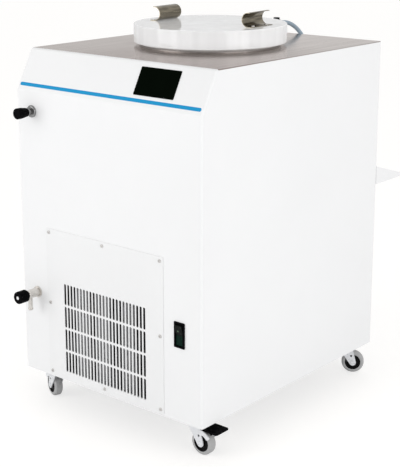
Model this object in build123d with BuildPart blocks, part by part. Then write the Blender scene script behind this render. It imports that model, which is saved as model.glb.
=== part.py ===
"""Floor-standing laboratory freeze dryer on castors, in millimetres.

Origin on the floor under the lid's axis, +Z up, the operator's side faces -Y.
"""
import math
import os

from build123d import *

os.makedirs("parts", exist_ok=True)

# ---- Cabinet ----------------------------------------------------------------
cabinet_width = 530.0
cabinet_depth = 640.0
cabinet_height = 736.0
floor_gap = 80.0            # floor to the lower edge of the panels
sheet = 1.5                 # painted steel sheet
top_sheet = 2.0             # stainless top
seam = 0.3                  # gap between neighbouring panels
corner_radius = 5.0         # upright corners of the front panel
crest_flat = 5.6            # level strip behind the slope, in front of the stainless top
slope_rise = 85.4           # height of the sloping control panel
slope_angle = 28.0          # from the vertical
bend_radius = 6.0
crest_radius = 8.0
return_depth = 6.0          # side returns of the front panel
flange_width = 15.0         # inward flanges of the side panels
base_sheet = 2.0

# ---- Lid, chamber -----------------------------------------------------------
chamber_radius = 146.5
chamber_wall = 1.5
chamber_depth = 250.0
chamber_rim_radius = 159.0
chamber_rim = 2.5
gasket_width = 10.0
gasket_height = 4.9
lid_radius = 172.0
lid_thickness = 41.0
lid_turn = 5.0              # degrees the lid is turned where it rests
handle_radius = 16.0
handle_sheet = 1.5
handle_length = 82.0
handle_offset = 126.0       # lid axis to a handle's own axis
handle_foot = 12.0
handle_lip = 4.0
handle_screw_spacing = 52.0

# ---- Front panel fittings ---------------------------------------------------
access_width = 346.5
access_height = 344.0
access_x = -10.8
access_z = 176.6            # centre above the cabinet's lower edge
access_border = 18.0        # cover past the opening behind it
screw_inset = 9.0
slot_length = 48.8
slot_width = 6.4
slot_pitch_x = 9.87
slot_pitch_z = 52.9
slot_columns = 25
slot_rows = 4
grille_x = -9.4
grille_z = 125.5

screw_radius = 2.0
screw_head_radius = 3.7
screw_head = 2.2
cross_length = 3.6            # cross recess in each head
cross_width = 0.8
cross_depth = 1.2
screw_length = 8.0
screw_clearance = 0.05

display_width = 107.5
display_height = 61.0
display_glass_thickness = 1.2
display_x = 128.0
display_rise = 54.6         # centre, measured up the slope from the bend
module_margin = 5.0
module_depth = 20.0

switch_width = 27.8
switch_height = 55.5
switch_x = 206.0
switch_z = 191.8
bezel_thickness = 3.0
bezel_rim = 2.6
bezel_body_depth = 24.0
bezel_body_wall = 1.4
rocker_clearance = 0.4
rocker_end_clearance = 1.0
rocker_depth = 10.0
rocker_stub_radius = 1.5
rocker_tilt = 8.0
rocker_pivot_out = 1.0      # pivot in front of the panel
rocker_stub_length = 1.0
rocker_stub_gap = 0.2
rocker_pocket_floor = 4.0   # pocket past the rocker's depth

valve_x = -218.0
vent_drop = 131.0           # below the stainless top
drain_z = 192.0
vent_flange_radius = 13.5
vent_flange_thickness = 5.0
vent_neck_radius = 7.0
vent_neck_length = 11.0
vent_knob_length = 28.0
vent_knob_small_radius = 9.5
vent_knob_radius = 12.0
valve_stem_radius = 3.0
valve_running = 0.05
valve_bushing_radius = 6.0
valve_bushing_length = 14.0
valve_nut_wall = 3.0
valve_nut_height = 3.0
valve_bore_stop = 3.0       # blind end of a valve's bore
valve_stem_stop = 4.0       # stem's end short of the bushing's end
drain_barrel_radius = 10.0
drain_barrel_length = 33.0
drain_flange_wall = 3.0
drain_flange_thickness = 3.0
drain_neck_step = 4.0
drain_spout_radius = 5.0
drain_spout_bore = 3.0
drain_spout_reach = 37.0    # below the valve's axis
drain_spout_out = 24.0      # in front of the panel
drain_knob_radius = 14.0
drain_knob_length = 24.0
drain_knob_out = 37.0
drain_cap_radius = 4.0
drain_cap_thickness = 1.0
drain_cap_proud = 0.4

# ---- Refrigeration ----------------------------------------------------------
coil_tube_radius = 4.75
coil_pitch = 24.0
coil_turns = 3
coil_rise = 26.0            # above the pot's floor
foam_inner_radius = 158.6
foam_outer_radius = 195.0
foam_floor = 14.0
compressor_x = 45.0
compressor_y = 140.0
compressor_radius = 88.0
compressor_height = 190.0
compressor_foot_height = 16.0
compressor_foot_spacing = 120.0
compressor_foot_radius = 12.0
compressor_plate_margin = 16.0
compressor_plate = 4.0
compressor_dome = 28.0
compressor_base_edge = 12.0
condenser_width = 272.0
condenser_height = 272.0
condenser_depth = 38.0
condenser_gap = 14.0        # front panel to the fins
condenser_z = 14.0
fin_pitch = 8.0
fin_thickness = 0.5
fin_clearance = 0.1
condenser_tube_radius = 5.0
condenser_tube_pitch = 44.0
condenser_passes = 6
condenser_tube_ends = 4.0   # straight past the fins, before each return bend
shroud_depth = 26.0
fan_radius = 108.0
fan_ring_clearance = 4.0
fan_hub_radius = 24.0
fan_blades = 5
motor_radius = 32.0
motor_length = 46.0
motor_shaft_radius = 4.0
drier_radius = 13.0
drier_length = 80.0
line_radius = 4.0

# ---- Back of the cabinet ----------------------------------------------------
tray_depth = 110.0
tray_z = 397.0              # underside above the cabinet's lower edge
tray_back_height = 43.0
tray_lip = 10.0
inlet_x = -170.0
inlet_z = 110.0
inlet_width = 50.0
inlet_height = 28.0
inlet_hole_width = 30.0
inlet_hole_height = 24.0
inlet_flange = 3.0
port_drop = 96.0            # below the stainless top
port_bore = 12.5
port_wall = 1.5
port_flange_radius = 20.0
port_flange = 3.5
port_reach = 38.0
vent_slot_count = 14
vent_slot_pitch = 12.0
vent_slot_length = 120.0

hose_radius = 5.0
fitting_radius = 7.5
fitting_height = 30.0       # mounting face to the outlet's axis
fitting_outlet = 13.0
fitting_cap = 13.0          # outlet's axis to the top of the fitting
fitting_hex = 17.0
fitting_base = 6.0
hose_x = 15.0
hose_y = 229.5
hose_rear_x = 35.0
hose_end_drop = 100.0       # below the stainless top

# ---- Castors ----------------------------------------------------------------
castor_inset_side = 57.0
castor_inset_front = 46.0
castor_inset_back = 30.0
castor_plate = 56.0
castor_plate_thickness = 2.5
castor_bolt_spacing = 42.0
castor_bolt_radius = 3.0
castor_trail = 24.0
wheel_radius = 27.0
wheel_width = 19.0
hub_radius = 19.0
axle_radius = 3.0
axle_running = 0.05
fork_sheet = 2.5
fork_clearance = 1.0        # wheel to fork leg
fork_gap = 4.5              # castor plate to the fork's crown
kingpin_radius = 6.0
pedal_width = 41.0
pedal_reach = 75.0
pedal_thickness = 3.5
pedal_pivot = 14.0          # pivot ahead of the swivel axis

# ---- Worked-out places ------------------------------------------------------
half_width = cabinet_width / 2
vent_z = cabinet_height - vent_drop
port_z = cabinet_height - port_drop
hose_end_z = cabinet_height - hose_end_drop
bottom = floor_gap
top = floor_gap + cabinet_height
slope_run = slope_rise * math.tan(math.radians(slope_angle))
top_setback = slope_run + crest_flat
front = -(cabinet_depth - top_setback) / 2 - top_setback
back = front + cabinet_depth
bend_z = top - slope_rise
top_front = front + top_setback
rear_face = back + sheet
pot_outer = chamber_radius + chamber_wall
pot_bottom = top - chamber_depth
rim_top = top + chamber_rim
lid_bottom = rim_top + gasket_height
lid_top = lid_bottom + lid_thickness
slope_dir = Vector(0, math.sin(math.radians(slope_angle)), math.cos(math.radians(slope_angle)))
slope_out = Vector(0, -slope_dir.Z, slope_dir.Y)
slope_plane = Plane(origin=(0, front, bend_z), x_dir=(1, 0, 0), z_dir=slope_out)
front_plane = Plane(origin=(0, front, bottom), x_dir=(1, 0, 0), z_dir=(0, -1, 0))


def save(part, name):
    """Label a finished piece and write its STEP file."""
    part.label = name
    export_step(part, f"parts/{name}.step")


def side_outline(inset):
    """Front edge of the cabinet seen from the side, moved inwards by inset, bottom to top."""
    half_turn = math.tan(math.radians(slope_angle / 2))
    tilt = math.radians(slope_angle)
    low = (front + inset, bottom)
    bend = (front + inset, bend_z + inset * half_turn)
    crest_z = top - inset
    crest = (bend[0] + (crest_z - bend[1]) * math.tan(tilt), crest_z)
    return [low, bend, crest]


def nearest_vertex(corners, place):
    """The sketch corner closest to a place given as (first, second) sketch axis."""
    return corners.sort_by_distance((place[0], place[1], 0))[0]


# ---- Front panel: one folded sheet, upright face and sloping control panel ---
access_opening_w = access_width - 2 * access_border
access_opening_h = access_height - 2 * access_border
access_screws = [
    (access_x + i * (access_width / 2 - screw_inset), access_z + j * (access_height / 2 - screw_inset))
    for i in (-1, 0, 1)
    for j in (-1, 0, 1)
    if (i, j) != (0, 0)
]
with BuildPart() as front_panel:
    with BuildSketch(Plane.YZ.offset(-half_width)):
        outline = side_outline(0)
        with BuildLine():
            Polyline(*outline, (top_front, top), (top_front, bottom), close=True)
        make_face()
        fillet(nearest_vertex(vertices(), outline[1]), bend_radius)
        fillet(nearest_vertex(vertices(), outline[2]), crest_radius)
    extrude(amount=cabinet_width)
    side_edges = [
        e
        for e in edges()
        if abs(abs(e.center().X) - half_width) < 0.01
        and e.center().Y < top_front - 1
        and e.center().Z > bottom + 1
    ]
    fillet([e for e in side_edges if abs(e.center().Z - top) > 0.5], corner_radius)
    openings = faces().filter_by(lambda f: abs(f.center().Y - top_front) < 0.01 or abs(f.center().Z - bottom) < 0.01)
    offset(amount=-sheet, openings=openings)
    with BuildSketch(Plane.YZ.offset(-half_width)):
        with BuildLine():
            Polyline(*side_outline(return_depth), (top_front, top - return_depth), (top_front, bottom), close=True)
        make_face()
    extrude(amount=cabinet_width, mode=Mode.SUBTRACT)
    with BuildSketch(front_plane):
        with Locations((access_x, access_z)):
            Rectangle(access_opening_w, access_opening_h)
        with Locations((switch_x, switch_z)):
            Rectangle(switch_width - 2 * bezel_rim, switch_height - 2 * bezel_rim)
        with Locations((valve_x, vent_z), (valve_x, drain_z)):
            Circle(valve_bushing_radius)
        with Locations(*access_screws):
            Circle(screw_radius + screw_clearance)
    extrude(amount=-return_depth, mode=Mode.SUBTRACT)
    with BuildSketch(slope_plane):
        with Locations((display_x, display_rise)):
            Rectangle(display_width - 2 * module_margin, display_height - 2 * module_margin)
    extrude(amount=-return_depth, mode=Mode.SUBTRACT)
save(front_panel.part, "front_panel")

rear_margin = 4.0
rear_width = cabinet_width - 2 * rear_margin
rear_plane = Plane(origin=(0, rear_face, bottom), x_dir=(-1, 0, 0), z_dir=(0, 1, 0))
rear_screw_x = half_width - flange_width / 2
rear_screw_heights = (24.0, 200.0, 520.0, 700.0)
rear_screws = [(i * rear_screw_x, z) for i in (-1, 1) for z in rear_screw_heights]

# ---- Side panels: shallow pans whose flanges carry the other panels ----------
side_front = return_depth + seam
side_points = side_outline(side_front)[:2]
side_low, side_bend = side_points
side_step_z = top - return_depth - seam
side_crest_y = side_bend[0] + (side_step_z - side_bend[1]) * math.tan(math.radians(slope_angle))
plate_front = top_front + seam
side_profile = [
    side_low,
    side_bend,
    (side_crest_y, side_step_z),
    (plate_front, side_step_z),
    (plate_front, top - top_sheet),
    (back, top - top_sheet),
    (back, bottom),
]
for side_name, outer_x, inward in (("side_panel_left", -half_width, 1), ("side_panel_right", half_width, -1)):
    with BuildPart() as side_panel:
        with BuildSketch(Plane.YZ.offset(outer_x)):
            with BuildLine():
                Polyline(*side_profile, close=True)
            make_face()
        extrude(amount=inward * flange_width)
        with BuildSketch(Plane.YZ.offset(outer_x + inward * sheet)):
            with BuildLine():
                Polyline(*side_profile, close=True)
            make_face()
            offset(amount=-sheet, mode=Mode.REPLACE)
        extrude(amount=inward * flange_width, mode=Mode.SUBTRACT)
        with BuildSketch(rear_plane):
            with Locations(*rear_screws):
                Circle(screw_radius + screw_clearance)
        extrude(amount=-return_depth, mode=Mode.SUBTRACT)
    save(side_panel.part, side_name)

# ---- Base plate on the side flanges, with an upturned edge at front and back --
base_low = bottom + sheet
base_top = base_low + base_sheet
base_width = cabinet_width - 2 * (sheet + seam)
base_front = front + sheet + seam
base_back = back - sheet - seam
base_shoulder = front + side_front + sheet + seam
base_flange = 20.0
base_tongue_width = cabinet_width - 2 * (flange_width + seam)
low_screws = [place for place in access_screws if place[1] < access_z - access_height / 4]
with BuildPart() as base_plate:
    with BuildSketch(Plane.XY.offset(base_low)):
        with Locations((0, (base_shoulder + base_back) / 2)):
            Rectangle(base_width, base_back - base_shoulder)
        with Locations((0, (base_front + base_back) / 2)):
            Rectangle(base_tongue_width, base_back - base_front)
    extrude(amount=base_sheet)
    with BuildSketch(Plane.XY.offset(base_top)):
        with Locations((0, base_front + base_sheet / 2), (0, base_back - base_sheet / 2)):
            Rectangle(base_tongue_width, base_sheet)
    extrude(amount=base_flange)
    with BuildSketch(front_plane):
        with Locations(*low_screws):
            Circle(screw_radius + screw_clearance)
    extrude(amount=-return_depth, mode=Mode.SUBTRACT)
    castor_places = {
        "front_left": (-half_width + castor_inset_side, front + castor_inset_front),
        "front_right": (half_width - castor_inset_side, front + castor_inset_front),
        "rear_left": (-half_width + castor_inset_side, back - castor_inset_back),
        "rear_right": (half_width - castor_inset_side, back - castor_inset_back),
    }
    with BuildSketch(Plane.XY.offset(base_low)):
        with Locations(*castor_places.values()):
            with GridLocations(castor_bolt_spacing, castor_bolt_spacing, 2, 2):
                Circle(castor_bolt_radius + screw_clearance)
    extrude(amount=base_sheet, mode=Mode.SUBTRACT)
save(base_plate.part, "base_plate")

# ---- Stainless top with the chamber opening and a turned-down front edge ------
pot_clearance = 0.5
plate_length = rear_face - plate_front
plate_corner = 3.0
plate_edge = 0.8
top_flange = 14.0
with BuildPart() as top_plate:
    with BuildSketch(Plane.XY.offset(top - top_sheet)):
        with Locations((0, (plate_front + rear_face) / 2)):
            RectangleRounded(cabinet_width, plate_length, plate_corner)
        Circle(pot_outer + pot_clearance, mode=Mode.SUBTRACT)
        with Locations((hose_x, hose_y)):
            Circle(line_radius + seam, mode=Mode.SUBTRACT)
    extrude(amount=top_sheet)
    fillet(edges().group_by(Axis.Z)[-1].filter_by(lambda e: e.geom_type == GeomType.LINE), plate_edge)
    with BuildSketch(Plane.XY.offset(top - top_sheet - top_flange)):
        with Locations((0, plate_front + top_sheet / 2)):
            Rectangle(cabinet_width - 2 * (flange_width + seam), top_sheet)
    extrude(amount=top_flange)
save(top_plate.part, "top_plate")

# ---- Rear panel, screwed to the side flanges from outside --------------------
rear_low = bottom + rear_margin
rear_high = top - top_sheet - seam
rear_height = rear_high - rear_low
tray_screw_spacing = 200.0
tray_screws = [(i * tray_screw_spacing, tray_z + tray_back_height / 2) for i in (-1, 0, 1)]
fitting_rear_z = hose_end_z - fitting_outlet
with BuildPart() as rear_panel:
    with BuildSketch(Plane.XZ.offset(-rear_face)):
        with Locations((0, (rear_low + rear_high) / 2)):
            RectangleRounded(rear_width, rear_height, plate_corner)
    extrude(amount=sheet)
    with BuildSketch(rear_plane):
        with Locations(*rear_screws, *tray_screws):
            Circle(screw_radius + screw_clearance)
        with Locations((-inlet_x, inlet_z)):
            Rectangle(inlet_hole_width, inlet_hole_height)
        with Locations((0, port_z)):
            Circle(port_bore + port_wall + seam)
        with Locations((-hose_rear_x, fitting_rear_z)):
            Circle(line_radius + seam)
        with Locations((0, 210.0)):
            with GridLocations(0, vent_slot_pitch, 1, vent_slot_count):
                with GridLocations(vent_slot_length * 1.25, 0, 2, 1):
                    SlotOverall(vent_slot_length, slot_width)
    extrude(amount=-sheet, mode=Mode.SUBTRACT)
save(rear_panel.part, "rear_panel")

# ---- Access panel with the grille, screwed over the opening in the front -----
with BuildPart() as access_panel:
    with BuildSketch(front_plane):
        with Locations((access_x, access_z)):
            RectangleRounded(access_width, access_height, plate_corner)
        with Locations(*access_screws):
            Circle(screw_radius + screw_clearance, mode=Mode.SUBTRACT)
        with Locations((grille_x, grille_z)):
            with GridLocations(slot_pitch_x, slot_pitch_z, slot_columns, slot_rows):
                SlotOverall(slot_length, slot_width, rotation=90, mode=Mode.SUBTRACT)
    extrude(amount=sheet)
save(access_panel.part, "access_panel")

# ---- Rear tray: one folded sheet with tapered cheeks -------------------------
tray_plane = Plane(origin=(0, rear_face, bottom + tray_z), x_dir=(0, 1, 0), z_dir=(1, 0, 0))
with BuildPart() as rear_tray:
    with BuildSketch(tray_plane.offset(-half_width)):
        with BuildLine():
            Polyline(
                (0, 0), (tray_depth, 0), (tray_depth, tray_lip), (sheet, tray_back_height), (0, tray_back_height),
                close=True,
            )
        make_face()
    extrude(amount=cabinet_width)
    with BuildSketch(tray_plane.offset(-half_width + sheet)):
        with BuildLine():
            Polyline(
                (sheet, sheet), (tray_depth - sheet, sheet), (tray_depth - sheet, tray_back_height + 1),
                (sheet, tray_back_height + 1), close=True,
            )
        make_face()
    extrude(amount=cabinet_width - 2 * sheet, mode=Mode.SUBTRACT)
    fillet(edges().filter_by(Axis.X).filter_by(lambda e: e.center().Z < bottom + tray_z + 0.01), 2.0)
    with BuildSketch(rear_plane):
        with Locations(*tray_screws):
            Circle(screw_radius + screw_clearance)
    extrude(amount=sheet, mode=Mode.SUBTRACT)
save(rear_tray.part, "rear_tray")

# ---- Panel screws: pan heads, all alike --------------------------------------
front_screw_plane = front_plane.offset(sheet)
with BuildPart() as panel_screws:
    for plane, places in (
        (front_screw_plane, access_screws),
        (rear_plane, rear_screws),
        (rear_plane.offset(sheet), tray_screws),
    ):
        with BuildSketch(plane):
            with Locations(*places):
                Circle(screw_head_radius)
        extrude(amount=screw_head)
        with BuildSketch(plane):
            with Locations(*places):
                Circle(screw_radius)
        extrude(amount=-screw_length)
    crowns = [e for e in edges().filter_by(GeomType.CIRCLE) if abs(e.radius - screw_head_radius) < 0.01]
    fillet([e for e in crowns if e.center().Y < front - sheet - 1 or e.center().Y > rear_face + 1.6], 1.2)
    for plane, places in (
        (front_screw_plane, access_screws),
        (rear_plane, rear_screws),
        (rear_plane.offset(sheet), tray_screws),
    ):
        with BuildSketch(plane.offset(screw_head)):
            with Locations(*places):
                Rectangle(cross_length, cross_width)
                Rectangle(cross_width, cross_length)
        extrude(amount=-cross_depth, mode=Mode.SUBTRACT)
save(panel_screws.part, "panel_screws")

# ---- Chamber pot: spun stainless, hangs by its rim on the top plate -----------
pot_corner = 14.0
pot_drain_radius = 5.0
pot_drain_length = 12.0
port_plane = Plane(origin=(0, 0, bottom + port_z), x_dir=(1, 0, 0), z_dir=(0, 1, 0))
with BuildPart() as chamber_pot:
    with BuildSketch(Plane.XZ):
        with BuildLine():
            Polyline(
                (0, pot_bottom), (pot_outer, pot_bottom), (pot_outer, top), (chamber_rim_radius, top),
                (chamber_rim_radius, rim_top), (chamber_radius, rim_top),
                (chamber_radius, pot_bottom + chamber_wall), (0, pot_bottom + chamber_wall), close=True,
            )
        make_face()
        fillet(nearest_vertex(vertices(), (pot_outer, pot_bottom)), pot_corner)
        fillet(nearest_vertex(vertices(), (chamber_radius, pot_bottom + chamber_wall)), pot_corner - chamber_wall)
    revolve(axis=Axis.Z)
    with BuildSketch(Plane.XY.offset(pot_bottom)):
        Circle(pot_drain_radius)
    extrude(amount=-pot_drain_length)
    with BuildSketch(Plane.XY.offset(pot_bottom + chamber_wall)):
        Circle(pot_drain_radius - chamber_wall)
    extrude(amount=-pot_drain_length - chamber_wall, mode=Mode.SUBTRACT)
    with BuildSketch(port_plane):
        Circle(port_bore)
    extrude(amount=pot_outer + chamber_wall, mode=Mode.SUBTRACT)
save(chamber_pot.part, "chamber_pot")

# ---- Gasket, lid and its two bent handles ------------------------------------
gasket_radius = (chamber_radius + chamber_rim_radius) / 2
with BuildPart() as lid_gasket:
    with BuildSketch(Plane.XY.offset(rim_top)):
        Circle(gasket_radius + gasket_width / 2)
        Circle(gasket_radius - gasket_width / 2, mode=Mode.SUBTRACT)
    extrude(amount=gasket_height)
    fillet(edges().filter_by(GeomType.CIRCLE), 1.0)
save(lid_gasket.part, "lid_gasket")

lid_edge = 1.5
lid_plane = Plane.XY.offset(lid_top).rotated((0, 0, lid_turn))
handle_screw_depth = 12.0
handle_screw_radius = 2.0
handle_screw_head = 3.6
handle_screw_x = handle_offset + 4.0
handle_screws = [(i * handle_screw_x, j * handle_screw_spacing / 2) for i in (-1, 1) for j in (-1, 1)]
with BuildPart() as lid:
    with BuildSketch(Plane.XY.offset(lid_bottom)):
        Circle(lid_radius)
    extrude(amount=lid_thickness)
    fillet(edges().filter_by(GeomType.CIRCLE), lid_edge)
    with BuildSketch(lid_plane):
        with Locations(*handle_screws):
            Circle(handle_screw_radius + screw_clearance)
    extrude(amount=-handle_screw_depth, mode=Mode.SUBTRACT)
save(lid.part, "lid")

for handle_name, side in (("handle_left", -1), ("handle_right", 1)):
    across = lid_plane.x_dir * side
    along = Vector(0, 0, 1).cross(across)
    handle_plane = Plane(
        origin=lid_plane.from_local_coords(Vector(side * handle_offset, 0, 0)), x_dir=across, z_dir=along * -1
    )
    mid = handle_radius - handle_sheet / 2
    with BuildPart() as handle:
        with BuildSketch(handle_plane.offset(-handle_length / 2)):
            with BuildLine() as handle_curve:
                foot = Line((handle_foot, handle_sheet / 2), (0, handle_sheet / 2))
                bow = ThreePointArc(foot @ 1, (-mid, handle_radius), (0, 2 * handle_radius - handle_sheet / 2))
                Line(bow @ 1, (handle_lip, 2 * handle_radius - handle_sheet / 2))
            trace(line_width=handle_sheet)
        extrude(amount=handle_length)
        with BuildSketch(lid_plane):
            with Locations(*handle_screws):
                Circle(handle_screw_radius + screw_clearance)
        extrude(amount=handle_sheet, mode=Mode.SUBTRACT)
    save(handle.part, handle_name)

handle_head_height = 2.0
with BuildPart() as handle_screw_set:
    with BuildSketch(lid_plane.offset(1.0 - handle_screw_depth)):
        with Locations(*handle_screws):
            Circle(handle_screw_radius)
    extrude(amount=handle_screw_depth - 1.0 + handle_sheet)
    with BuildSketch(lid_plane.offset(handle_sheet)):
        with Locations(*handle_screws):
            Circle(handle_screw_head)
    extrude(amount=handle_head_height)
    fillet(edges().filter_by(GeomType.CIRCLE).group_by(Axis.Z)[-1], 1.2)
save(handle_screw_set.part, "handle_screws")

# ---- Display: glass bonded on the sloping panel, its module behind -----------
with BuildPart() as display_glass:
    with BuildSketch(slope_plane):
        with Locations((display_x, display_rise)):
            RectangleRounded(display_width, display_height, 2.0)
    extrude(amount=display_glass_thickness)
    fillet(faces().sort_by(Axis.Y)[0].edges(), 0.4)
save(display_glass.part, "display_glass")

module_gap = 1.0
with BuildPart() as display_module:
    with BuildSketch(slope_plane):
        with Locations((display_x, display_rise)):
            Rectangle(
                display_width - 2 * (module_margin + module_gap), display_height - 2 * (module_margin + module_gap)
            )
    extrude(amount=-module_depth)
save(display_module.part, "display_module")

# ---- Mains switch: bezel snapped into the front panel, rocker on two stubs ----
switch_plane = Plane(origin=(switch_x, front, bottom + switch_z), x_dir=(1, 0, 0), z_dir=(0, -1, 0))
pocket_width = switch_width - 2 * (bezel_rim + bezel_body_wall)
pocket_height = switch_height - 2 * (bezel_rim + bezel_body_wall)
rocker_pivot = Vector(switch_x, front + rocker_pivot_out, bottom + switch_z)
pivot_plane = Plane(origin=rocker_pivot, x_dir=(0, 1, 0), z_dir=(1, 0, 0))
with BuildPart() as switch_bezel:
    with BuildSketch(switch_plane):
        RectangleRounded(switch_width, switch_height, 1.5)
    extrude(amount=bezel_thickness)
    fillet(faces().sort_by(Axis.Y)[0].edges(), 1.0)
    with BuildSketch(switch_plane):
        Rectangle(switch_width - 2 * bezel_rim - 2 * screw_clearance, switch_height - 2 * bezel_rim - 2 * screw_clearance)
    extrude(amount=-bezel_body_depth)
    with BuildSketch(switch_plane.offset(bezel_thickness)):
        Rectangle(pocket_width, pocket_height)
    extrude(amount=-bezel_thickness - rocker_depth - rocker_pocket_floor, mode=Mode.SUBTRACT)
    stub_hole = rocker_stub_length + rocker_stub_gap
    with BuildSketch(pivot_plane.offset(-pocket_width / 2 - stub_hole)):
        Circle(rocker_stub_radius + valve_running)
    extrude(amount=pocket_width + 2 * stub_hole, mode=Mode.SUBTRACT)
save(switch_bezel.part, "switch_bezel")

rocker_half = pocket_height / 2 - rocker_end_clearance
rocker_width = pocket_width - 2 * rocker_clearance
rocker_crest = 1.6           # crest of the rocker in front of its pivot
rocker_back = 2.0
rocker_keel = rocker_depth - rocker_pocket_floor
rocker_slope = math.tan(math.radians(rocker_tilt))
tilt = math.radians(rocker_tilt)
rocker_plane = Plane(
    origin=rocker_pivot, x_dir=(0, math.cos(tilt), math.sin(tilt)), z_dir=(1, 0, 0)
)
with BuildPart() as rocker:
    with BuildSketch(rocker_plane.offset(-rocker_width / 2)):
        with BuildLine():
            Polyline(
                (-rocker_crest, 0),
                (-rocker_crest - rocker_half * rocker_slope, rocker_half),
                (rocker_back, rocker_half),
                (rocker_keel, rocker_half / 3),
                (rocker_keel, -rocker_half / 3),
                (rocker_back, -rocker_half),
                (-rocker_crest - rocker_half * rocker_slope, -rocker_half),
                close=True,
            )
        make_face()
    extrude(amount=rocker_width)
    fillet(edges().filter_by(Axis.X).group_by(Axis.Y)[0], 0.5)
    with BuildSketch(pivot_plane.offset(-pocket_width / 2 - rocker_stub_length)):
        Circle(rocker_stub_radius)
    extrude(amount=pocket_width + 2 * rocker_stub_length)
save(rocker.part, "rocker")

# ---- Vent valve: chrome escutcheon, knob turning on its own stem --------------
vent_plane = Plane(origin=(valve_x, front, bottom + vent_z), x_dir=(1, 0, 0), z_dir=(0, -1, 0))
vent_section = Plane(origin=vent_plane.origin, x_dir=(1, 0, 0), z_dir=(0, 0, 1))
vent_knob_out = vent_flange_thickness + vent_neck_length
with BuildPart() as vent_flange:
    with BuildSketch(vent_plane):
        Circle(vent_flange_radius)
    extrude(amount=vent_flange_thickness)
    fillet(edges().filter_by(GeomType.CIRCLE).sort_by(Axis.Y)[0], 3.0)
    with BuildSketch(vent_plane):
        Circle(vent_neck_radius)
    extrude(amount=vent_knob_out - seam)
    with BuildSketch(vent_plane):
        Circle(valve_bushing_radius - screw_clearance)
    extrude(amount=-valve_bushing_length)
    with BuildSketch(vent_plane.offset(-sheet)):
        RegularPolygon(vent_neck_radius + valve_nut_wall, 6)
    extrude(amount=-valve_nut_height)
    with BuildSketch(vent_plane.offset(vent_knob_out)):
        Circle(valve_stem_radius + valve_running)
    extrude(amount=-vent_knob_out - valve_bushing_length + valve_bore_stop, mode=Mode.SUBTRACT)
save(vent_flange.part, "vent_flange")

knob_recess = 1.2
knob_rim = 2.5
knob_taper_end = 0.6         # share of the knob's length that widens
with BuildPart() as vent_knob:
    with BuildSketch(vent_section):
        with BuildLine():
            Polyline(
                (0, -vent_knob_out), (vent_knob_small_radius, -vent_knob_out),
                (vent_knob_radius, -vent_knob_out - vent_knob_length * knob_taper_end),
                (vent_knob_radius, -vent_knob_out - vent_knob_length),
                (vent_knob_radius - knob_rim, -vent_knob_out - vent_knob_length),
                (vent_knob_radius - knob_rim - 0.5, -vent_knob_out - vent_knob_length + knob_recess),
                (0, -vent_knob_out - vent_knob_length + knob_recess), close=True,
            )
        make_face()
    revolve(axis=Axis(vent_plane.origin, (0, -1, 0)))
    fillet(edges().filter_by(GeomType.CIRCLE).sort_by(Axis.Y)[0], 1.0)
    with BuildSketch(vent_plane.offset(vent_knob_out)):
        Circle(valve_stem_radius)
    extrude(amount=-vent_knob_out - valve_bushing_length + valve_stem_stop)
save(vent_knob.part, "vent_knob")

# ---- Drain valve: nickel body with a barbed spout pointing down --------------
drain_plane = Plane(origin=(valve_x, front, bottom + drain_z), x_dir=(1, 0, 0), z_dir=(0, -1, 0))
spout_plane = Plane(
    origin=(valve_x, front - drain_spout_out, bottom + drain_z), x_dir=(1, 0, 0), z_dir=(0, 0, -1)
)
spout_barb = 1.2
spout_barb_length = 4.0
with BuildPart() as drain_valve:
    with BuildSketch(drain_plane):
        Circle(drain_barrel_radius + drain_flange_wall)
    extrude(amount=drain_flange_thickness)
    with BuildSketch(drain_plane):
        Circle(drain_barrel_radius)
    extrude(amount=drain_barrel_length)
    fillet(edges().filter_by(GeomType.CIRCLE).sort_by(Axis.Y)[0], 1.5)
    with BuildSketch(drain_plane.offset(drain_barrel_length)):
        Circle(drain_barrel_radius - drain_neck_step)
    extrude(amount=drain_knob_out - drain_barrel_length - seam)
    with BuildSketch(drain_plane):
        Circle(valve_bushing_radius - screw_clearance)
    extrude(amount=-valve_bushing_length)
    with BuildSketch(drain_plane.offset(-sheet)):
        RegularPolygon(vent_neck_radius + valve_nut_wall, 6)
    extrude(amount=-valve_nut_height)
    with BuildSketch(spout_plane):
        Circle(drain_spout_radius)
    extrude(amount=drain_spout_reach)
    with BuildSketch(spout_plane.offset(drain_spout_reach - spout_barb_length)):
        Circle(drain_spout_radius + spout_barb)
    extrude(amount=spout_barb_length, taper=14)
    with BuildSketch(spout_plane.offset(drain_spout_reach)):
        Circle(drain_spout_bore)
    extrude(amount=-drain_spout_reach, mode=Mode.SUBTRACT)
    with BuildSketch(drain_plane.offset(drain_knob_out)):
        Circle(valve_stem_radius + valve_running)
    extrude(amount=-drain_knob_out - valve_bushing_length + valve_bore_stop, mode=Mode.SUBTRACT)
save(drain_valve.part, "drain_valve")

with BuildPart() as drain_knob:
    with BuildSketch(drain_plane.offset(drain_knob_out)):
        Circle(drain_knob_radius)
    extrude(amount=drain_knob_length)
    fillet(edges().filter_by(GeomType.CIRCLE), 2.0)
    with BuildSketch(drain_plane.offset(drain_knob_out + drain_knob_length)):
        Circle(drain_cap_radius)
    extrude(amount=-drain_cap_thickness, mode=Mode.SUBTRACT)
    with BuildSketch(drain_plane.offset(drain_knob_out)):
        Circle(valve_stem_radius)
    extrude(amount=-drain_knob_out - valve_bushing_length + valve_stem_stop)
save(drain_knob.part, "drain_knob")

with BuildPart() as drain_knob_cap:
    with BuildSketch(drain_plane.offset(drain_knob_out + drain_knob_length - drain_cap_thickness)):
        Circle(drain_cap_radius - screw_clearance)
    extrude(amount=drain_cap_thickness + drain_cap_proud)
    fillet(edges().filter_by(GeomType.CIRCLE).sort_by(Axis.Y)[0], 0.6)
save(drain_knob_cap.part, "drain_knob_cap")

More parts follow.
